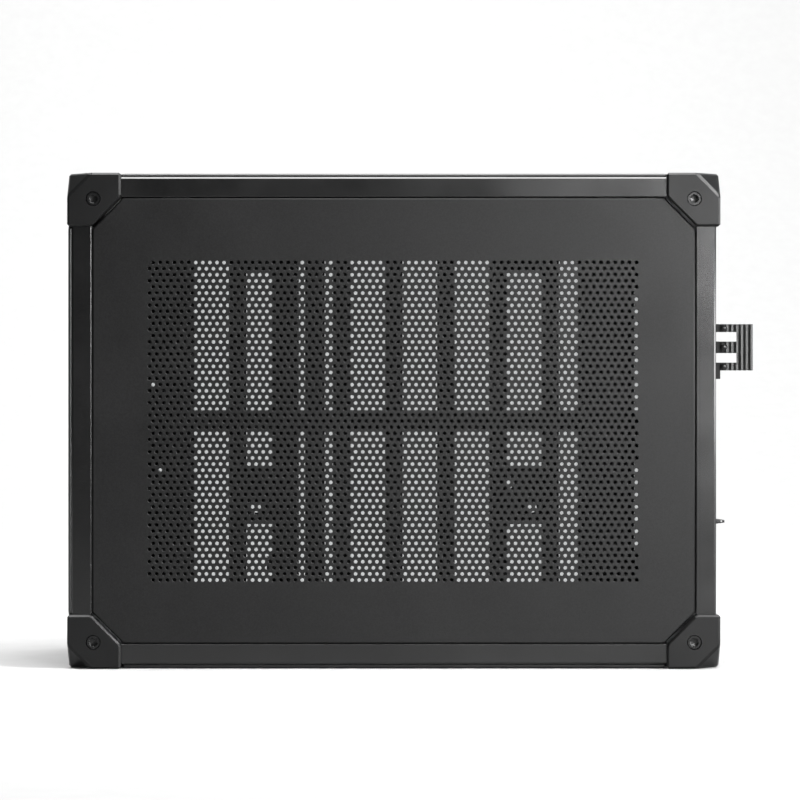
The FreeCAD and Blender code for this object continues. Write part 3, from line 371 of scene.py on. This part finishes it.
def ring_of_points(middle, radius, sides):
    half_step = math.pi / sides
    angles = [half_step + 2.0 * half_step * k for k in range(sides)]
    return [(middle[0] + radius * math.cos(a), middle[1] + radius * math.sin(a)) for a in angles]


def round_holes(centres, sides):
    return [ring_of_points(centre, HOLE_RADIUS, sides) for centre in centres]


def box_hole(middle, size):
    u, v = middle
    half_u, half_v = size[0] / 2.0, size[1] / 2.0
    low_side = [(u - half_u, v - half_v), (u + half_u, v - half_v)]
    high_side = [(u + half_u, v + half_v), (u - half_u, v + half_v)]
    return low_side + high_side


def staggered(middle, columns, rows):
    """Hole centres in rows; the last row and every second one below it is shifted by half a pitch."""
    first_u = middle[0] - (columns - 0.5) * PITCH / 2.0
    first_v = middle[1] - (rows - 1) * ROW_PITCH / 2.0
    centres = []
    for row in range(rows):
        shift = PITCH / 2.0 if (rows - 1 - row) % 2 == 0 else 0.0
        v = first_v + row * ROW_PITCH
        centres += [(first_u + shift + column * PITCH, v) for column in range(columns)]
    return centres


def mirrored_outline(size_u, size_v, low_corner, high_corner):
    """A counter-clockwise outline about its middle, from the paths round its low and high corners."""
    high_low = [(size_u - u, v) for u, v in reversed(high_corner)]
    high_high = [(size_u - u, size_v - v) for u, v in high_corner]
    low_high = [(u, size_v - v) for u, v in reversed(low_corner)]
    whole = low_corner + high_low + high_high + low_high
    return [(u - size_u / 2.0, v - size_v / 2.0) for u, v in whole]


def skin_corner(margin_u, margin_v):
    """The path round one corner of a skin, where a corner block takes its place."""
    long, short = BLOCK_NOTCH_LONG, BLOCK_NOTCH_SHORT
    return [(margin_u, long), (short, long), (long, short), (long, margin_v)]


def inside(point, loop):
    """True if a point lies inside a closed loop."""
    hit = False
    for k, (u, v) in enumerate(loop):
        last_u, last_v = loop[k - 1]
        if (v > point[1]) != (last_v > point[1]):
            if point[0] < (last_u - u) * (point[1] - v) / (last_v - v) + u:
                hit = not hit
    return hit


def sheet_faces(outline, holes):
    """Triangles of a flat sheet with holes, and for each of its points its number in the loops."""
    loops = [outline] + holes
    points = []
    edges = []
    loop_of = []
    for number, loop in enumerate(loops):
        first = len(points)
        points += [Vector(point) for point in loop]
        edges += [(first + k, first + (k + 1) % len(loop)) for k in range(len(loop))]
        loop_of += [number] * len(loop)
    inside_constraints = 1
    tolerance = 1e-6
    made = delaunay_2d_cdt(points, edges, [], inside_constraints, tolerance, True)
    flat, triangles, sources = made[0], made[2], [source[0] for source in made[3]]
    kept = []
    for triangle in triangles:
        numbers = {loop_of[sources[k]] for k in triangle}
        if len(numbers) == 1 and 0 not in numbers:
            middle = [sum(flat[k][axis] for k in triangle) / 3.0 for axis in (0, 1)]
            if inside(middle, loops[numbers.pop()]):
                continue
        kept.append(tuple(triangle))
    return kept, sources


def plate(name, node, place, along_u, along_v, thick, edges, outline, holes, body, slot,
          material=None):
    """A sheet with holes, whose outer face holds the place given.

    The edges are the reach and depth of the outer chamfer, the reach and depth of the inner one,
    and the chamfer at the holes.
    """
    outer_reach, outer_depth, inner_reach, inner_depth, hole_edge = edges
    face_outline = inset(outline, outer_reach)
    face_holes = [inset(hole, -hole_edge) for hole in holes]
    triangles, sources = sheet_faces(face_outline, face_holes)
    face_points = list(face_outline)
    body_points = list(outline)
    back_points = inset(outline, inner_reach)
    for hole, face_hole in zip(holes, face_holes):
        face_points += face_hole
        body_points += hole
        back_points += hole
    u_axis = Vector(along_u)
    v_axis = Vector(along_v)
    outward = u_axis.cross(v_axis)

    def lifted(point, depth):
        return tuple(Vector(place) + u_axis * point[0] + v_axis * point[1] - outward * depth)

    rim = len(outline)
    count = len(sources)
    verts = [lifted(face_points[k], 0.0) for k in sources]
    verts += [lifted(body_points[k], outer_depth if k < rim else hole_edge) for k in sources]
    verts += [lifted(back_points[k], thick) for k in sources]
    faces = list(triangles)
    faces += [tuple(k + 2 * count for k in reversed(triangle)) for triangle in triangles]
    sides = {(triangle[k - 1], triangle[k]) for triangle in triangles for k in range(3)}
    chains = []
    for k, source in enumerate(sources):
        chain = [k, k + count, k + 2 * count]
        if source < rim:
            chain.insert(2, len(verts))
            verts.append(lifted(body_points[source], thick - inner_depth))
        chains.append(chain)
    for a, b in sides:
        if (b, a) in sides:
            continue
        for row in range(len(chains[a]) - 1):
            faces.append((chains[a][row + 1], chains[b][row + 1], chains[b][row], chains[a][row]))
    piece = new_piece(name, verts, faces, body, slot, material)
    if node:
        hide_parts(node)


def shaped_radius(radius, shape, angle, step):
    """The radius of a ring at an angle: round, knurled, six-sided or a cross."""
    if shape == "knurled" and step % 2:
        return radius - KNURL_DEPTH
    if shape == "hex":
        turn = angle % math.radians(60.0) - math.radians(30.0)
        return radius * math.cos(math.radians(30.0)) / math.cos(turn)
    if shape == "cross":
        turn = (angle + math.radians(45.0)) % math.radians(90.0) - math.radians(45.0)
        return min(radius, CROSS_ARM * radius / max(abs(math.sin(turn)), 0.01))
    return radius


def turned_pieces(name, nodes_replaced, places, rows, sides, body, slot):
    """Rings about a line through each place, closed at both ends.

    A place is a point and a direction; a row is a ring's radius, its distance along the line and its shape.
    """
    verts = []
    faces = []
    for middle, direction in places:
        axis = Vector(direction)
        u_axis = axis.orthogonal().normalized()
        v_axis = axis.cross(u_axis)
        first = len(verts)
        for radius, along, shape in rows:
            for k in range(sides):
                angle = 2.0 * math.pi * k / sides
                reach = shaped_radius(radius, shape, angle, k)
                spoke = u_axis * math.cos(angle) + v_axis * math.sin(angle)
                verts.append(tuple(Vector(middle) + axis * along + spoke * reach))
        for row in range(len(rows) - 1):
            low = first + row * sides
            for k in range(sides):
                after = (k + 1) % sides
                faces.append((low + k, low + after, low + sides + after, low + sides + k))
        last = first + (len(rows) - 1) * sides
        faces.append(tuple(range(first + sides - 1, first - 1, -1)))
        faces.append(tuple(range(last, last + sides)))
    piece = new_piece(name, verts, faces, body, slot, sharp=25.0)
    if nodes_replaced:
        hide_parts(*nodes_replaced)


def blocks(name, boxes, round_mm, body, slot, material=None):
    """Small bars with rounded edges, each from its lowest to its highest corner."""
    verts = []
    faces = []
    sides = [(0, 1, 3, 2), (4, 6, 7, 5), (0, 4, 5, 1), (2, 3, 7, 6), (0, 2, 6, 4), (1, 5, 7, 3)]
    for low, high in boxes:
        first = len(verts)
        x_ends, y_ends, z_ends = zip(low, high)
        verts += [(x, y, z) for x in x_ends for y in y_ends for z in z_ends]
        faces += [tuple(first + k for k in side) for side in sides]
    piece = new_piece(name, verts, faces, body, slot, material)
    bevel = piece.modifiers.new("bevel", "BEVEL")
    bevel.width = round_mm * MM
    bevel.segments = 2


# Perforated panels and the border printed on the glass


def make_side_panels():
    cut = [(PANEL_EDGE, PANEL_CUT), (PANEL_CUT, PANEL_EDGE)]
    side = mirrored_outline(DEPTH, HEIGHT, cut, cut)
    side_field = staggered(SIDE_FIELD_MIDDLE, SIDE_FIELD_COLUMNS, SIDE_FIELD_ROWS)
    plate("side_perforated", "right_panel", (MIDDLE_X, PANEL_FACE_Y, MIDDLE_Z), (1, 0, 0), (0, 0, 1),
          PANEL_THICK, PANEL_EDGES, side, round_holes(side_field, PANEL_HOLE_SIDES),
          "right_side", "side_panel")
    border = inset(side, PRINT_MARGIN)
    clear = inset(side, PRINT_WIDTH)
    plate("glass_border", None, (MIDDLE_X, PRINT_FACE_Y, MIDDLE_Z), (1, 0, 0), (0, 0, 1),
          PRINT_THICK, PRINT_EDGES, border, [clear], "left_side", "black_plastic", glass_print)


def make_skins():
    front_corner = skin_corner(SKIN_MARGIN, SKIN_SIDE)
    rear_corner = skin_corner(SKIN_SIDE, SKIN_SIDE)
    level_outline = mirrored_outline(DEPTH, WIDTH, front_corner, rear_corner)
    top_field = staggered((0.0, 0.0), TOP_FIELD_COLUMNS, TOP_FIELD_ROWS)
    plate("top_perforated", "top_panel", (MIDDLE_X, 0.0, HEIGHT - SKIN_MARGIN), (1, 0, 0), (0, 1, 0),
          SKIN_THICK, SKIN_EDGES, level_outline, round_holes(top_field, SKIN_HOLE_SIDES),
          "case", "skins")

    upright_corner = skin_corner(SKIN_SIDE, SKIN_INNER)
    front = mirrored_outline(WIDTH, HEIGHT, upright_corner, upright_corner)
    front_field = staggered(FRONT_FIELD_MIDDLE, FRONT_FIELD_COLUMNS, FRONT_FIELD_ROWS)
    level = BUTTON_PLACE[2] - MIDDLE_Z
    openings = [
        ring_of_points((-BUTTON_PLACE[1], level), BUTTON_HOLE_RADIUS, 48),
        ring_of_points((JACK_U, level), JACK_HOLE_RADIUS, 32),
    ]
    openings += [box_hole((u, level), TYPE_A_OPENING) for u in TYPE_A_PLACES_U]
    openings.append(box_hole((TYPE_C_U, level), TYPE_C_OPENING))
    plate("front_perforated", "front_panel", (FRONT + SKIN_MARGIN, 0.0, MIDDLE_Z), (0, -1, 0), (0, 0, 1),
          SKIN_THICK, SKIN_EDGES, front, openings + round_holes(front_field, SKIN_HOLE_SIDES),
          "case", "skins")


# Fasteners, button and contacts


def make_fasteners():
    corner_places = [
        ((x, side * CORNER_SCREW_FACE_Y, z), (0.0, side, 0.0))
        for x in CORNER_SCREWS_X for side in (-1.0, 1.0) for z in CORNER_SCREWS_Z
    ]
    corner_rows = [
        (2.1, -15.0, "round"), (2.5, -14.5, "round"), (2.5, -5.0, "round"), (4.0, -5.0, "round"),
        (4.2, -4.8, "knurled"), (4.2, -0.6, "knurled"), (4.1, -0.3, "round"), (3.9, 0.0, "round"),
        (2.7, 0.0, "round"), (2.5, -0.3, "hex"), (2.4, -2.3, "hex"), (1.0, -2.5, "round"),
    ]
    turned_pieces("corner_cap_screws", ["corner_screws"], corner_places, corner_rows, 48,
                  "case", "black_screws")

    thumb_places = [((SLOT_SCREW_X, SLOT_SCREW_SEAT_Y, z), (0.0, 1.0, 0.0)) for z in SLOT_SCREWS_Z]
    thumb_rows = [
        (1.3, -6.0, "round"), (1.7, -5.6, "round"), (1.7, 0.0, "round"), (3.4, 0.0, "round"),
        (3.6, 0.5, "round"), (4.1, 0.6, "round"), (4.4, 0.9, "knurled"), (4.4, 4.3, "knurled"),
        (4.0, 4.7, "round"), (3.2, 5.0, "round"), (2.1, 5.0, "round"), (1.9, 4.8, "cross"),
        (1.5, 3.4, "cross"),
    ]
    turned_pieces("knurled_slot_screws", ["slot_screws"], thumb_places, thumb_rows, 60,
                  "case", "black_screws")

    rivet_places = [((RIVET_X, ANCHOR_Y, z), (0.0, -1.0, 0.0)) for z in RIVETS_Z]
    rivet_rows = [
        (0.6, -2.9, "round"), (1.3, -2.8, "round"), (1.75, -2.6, "round"), (1.9, -2.3, "round"),
        (1.4, -2.3, "round"), (1.4, 2.3, "round"),
        (1.9, 2.3, "round"), (1.75, 2.6, "round"), (1.3, 2.8, "round"), (0.6, 2.9, "round"),
    ]
    turned_pieces("domed_rivets", ["anchor_rivets"], rivet_places, rivet_rows, 32,
                  "case", "black_screws")

    inlet_places = [((INLET_SCREW_X, y, INLET_SCREW_Z), (1.0, 0.0, 0.0)) for y in INLET_SCREWS_Y]
    inlet_rows = [
        (2.7, -0.3, "round"), (2.7, 0.2, "round"), (2.4, 0.8, "round"), (1.8, 1.2, "round"),
        (1.5, 1.25, "round"), (1.4, 1.15, "cross"), (0.9, 0.2, "cross"),
    ]
    turned_pieces("inlet_screws", [], inlet_places, inlet_rows, 40, "case", "black_screws")


def make_button():
    rows = [
        (6.6, -6.0, "round"), (7.0, -5.6, "round"), (7.0, -0.4, "round"), (6.85, -0.12, "round"),
        (6.6, 0.0, "round"), (5.5, 0.0, "round"), (5.35, -0.3, "round"), (5.05, -0.3, "round"),
        (4.9, -0.05, "round"), (3.2, -0.2, "round"), (1.4, -0.3, "round"),
    ]
    turned_pieces("ringed_button", ["power_button"], [(BUTTON_PLACE, (-1.0, 0.0, 0.0))], rows, 64,
                  "button", "button_metal")


def make_contacts():
    contacts = []
    for u in TYPE_A_PLACES_U:
        for step in CONTACT_STEPS:
            y = step - u
            low = (CONTACT_ENDS_X[0], y - CONTACT_HALF_WIDTH, CONTACT_FACES_Z[0])
            high = (CONTACT_ENDS_X[1], y + CONTACT_HALF_WIDTH, CONTACT_FACES_Z[1])
            contacts.append((low, high))
    blocks("port_contacts", contacts, 0.05, "case", "bright_steel", gold)

    half_y, half_z = PRONG_HALF_SIZE
    prongs = []
    for y, z in PRONG_MIDDLES:
        low = (PRONG_ENDS_X[0], y - half_y, z - half_z)
        high = (PRONG_ENDS_X[1], y + half_y, z + half_z)
        prongs.append((low, high))
    blocks("inlet_prongs", prongs, 0.4, "case", "bright_steel")


# Finish of the pieces that stay as they are: the round on their edges in each slot, the angle from
# which an edge is rounded, the distance in metres at which points are joined, and two own materials
BEVELS = {
    "frame_rails": 0.15, "corner_blocks": 0.2, "skins": 0.6, "inner_sheet": 0.2,
    "black_plastic": 0.25, "bright_steel": 0.15, "standoffs": 0.25, "side_glass": 0.5,
}
BEVEL_FROM_DEGREES = 40.0
JOIN_DISTANCE = 1e-6
OWN_FINISH = {"cable_anchor": painted_light_anchor_rubber, "rear_eye": dark_steel}


def finish_nodes():
    """Gives each node its material and, where its slot has one, a small round on its edges."""
    for entry in frame["record"]["subparts"]:
        node = nodes[entry["node"]]
        slot = entry["material_slot"]
        node.data.materials.clear()
        node.data.materials.append(OWN_FINISH.get(entry["node"], materials[slot]))
        if slot not in BEVELS or node.hide_render:
            continue
        weld = node.modifiers.new("weld", "WELD")
        weld.merge_threshold = JOIN_DISTANCE
        bevel = node.modifiers.new("bevel", "BEVEL")
        bevel.width = BEVELS[slot] * MM
        bevel.segments = 2
        bevel.limit_method = "ANGLE"
        bevel.angle_limit = math.radians(BEVEL_FROM_DEGREES)


# Stage, lights and camera


def make_floor():
    """A pale floor that curves up behind the object."""
    front_y, bend_y, radius, top_z = -6.0, 2.0, 2.0, 4.0
    half_width = 7.0
    drop = 0.0003
    steps = 24
    profile = [(front_y, 0.0), (bend_y, 0.0)]
    for k in range(1, steps + 1):
        angle = math.radians(90.0) * k / steps
        profile.append((bend_y + radius * math.sin(angle), radius * (1.0 - math.cos(angle))))
    profile.append((bend_y + radius, top_z))
    verts = [(side * half_width, y, z - drop) for side in (-1.0, 1.0) for y, z in profile]
    count = len(profile)
    faces = [(k, k + count, k + count + 1, k + 1) for k in range(count - 1)]
    mesh = bpy.data.meshes.new("floor")
    mesh.from_pydata(verts, [], faces)
    mesh.shade_smooth()
    paper = surface("floor_paper", (0.335,) * 3, (0.345,) * 3, (0.7, 0.8), grain=60.0)
    mesh.materials.append(paper)
    floor = bpy.data.objects.new("floor", mesh)
    scene.collection.objects.link(floor)


def make_world():
    world = bpy.data.worlds.new("studio")
    world.use_nodes = True
    background = world.node_tree.nodes["Background"]
    background.inputs["Color"].default_value = (1.0, 1.0, 1.0, 1.0)
    background.inputs["Strength"].default_value = 0.08
    scene.world = world


def make_light(name, place, target, size, radiance, spread_degrees=180.0):
    """A lit rectangle; a narrower spread gathers the same power into a beam."""
    data = bpy.data.lights.new(name, "AREA")
    data.shape = "RECTANGLE"
    data.spread = math.radians(spread_degrees)
    data.size, data.size_y = size
    data.energy = radiance * math.pi * size[0] * size[1]
    light = bpy.data.objects.new(name, data)
    light.location = place
    direction = Vector(target) - Vector(place)
    light.rotation_euler = direction.to_track_quat("-Z", "Y").to_euler()
    scene.collection.objects.link(light)


def make_lights():
    make_light("ceiling", (0.0, 1.5, 4.0), (0.0, 1.5, 0.0), (3.5, 4.0), 3.6)
    make_light("top_strip", (-0.02, -0.25, 1.4), (-0.02, -0.25, 0.0), (1.0, 0.7), 17.0)
    make_light("right_strip", (1.5, -0.45, 0.32), (0.0, -0.4, 0.2), (1.1, 0.5), 13.0, 150.0)
    make_light("upper_corner", (1.18, -0.6, 1.28), (0.17, -0.09, 0.28), (0.5, 0.5), 2.5, 24.0)
    make_light("side_fill", (1.15, -1.6, 0.15), (-0.1, -0.09, 0.15), (0.3, 0.5), 2.5, 50.0)
    make_light("key", (0.75, -2.2, 0.5), (0.0, 0.0, 0.15), (0.4, 0.4), 10.5, 60.0)
    make_light("backdrop", (0.0, 1.0, 2.8), (0.0, 3.6, 0.6), (3.0, 0.8), 30.0)


def make_camera():
    data = bpy.data.cameras.new("camera")
    data.sensor_width = 36.0
    data.lens = 153.5
    camera = bpy.data.objects.new("camera", data)
    camera.location = (-0.0062, -2.13, 0.1603)
    camera.rotation_euler = (math.radians(90.0), 0.0, 0.0)
    scene.collection.objects.link(camera)
    scene.camera = camera


make_side_panels()
make_skins()
make_fasteners()
make_button()
make_contacts()
finish_nodes()
make_floor()
make_world()
make_lights()
make_camera()
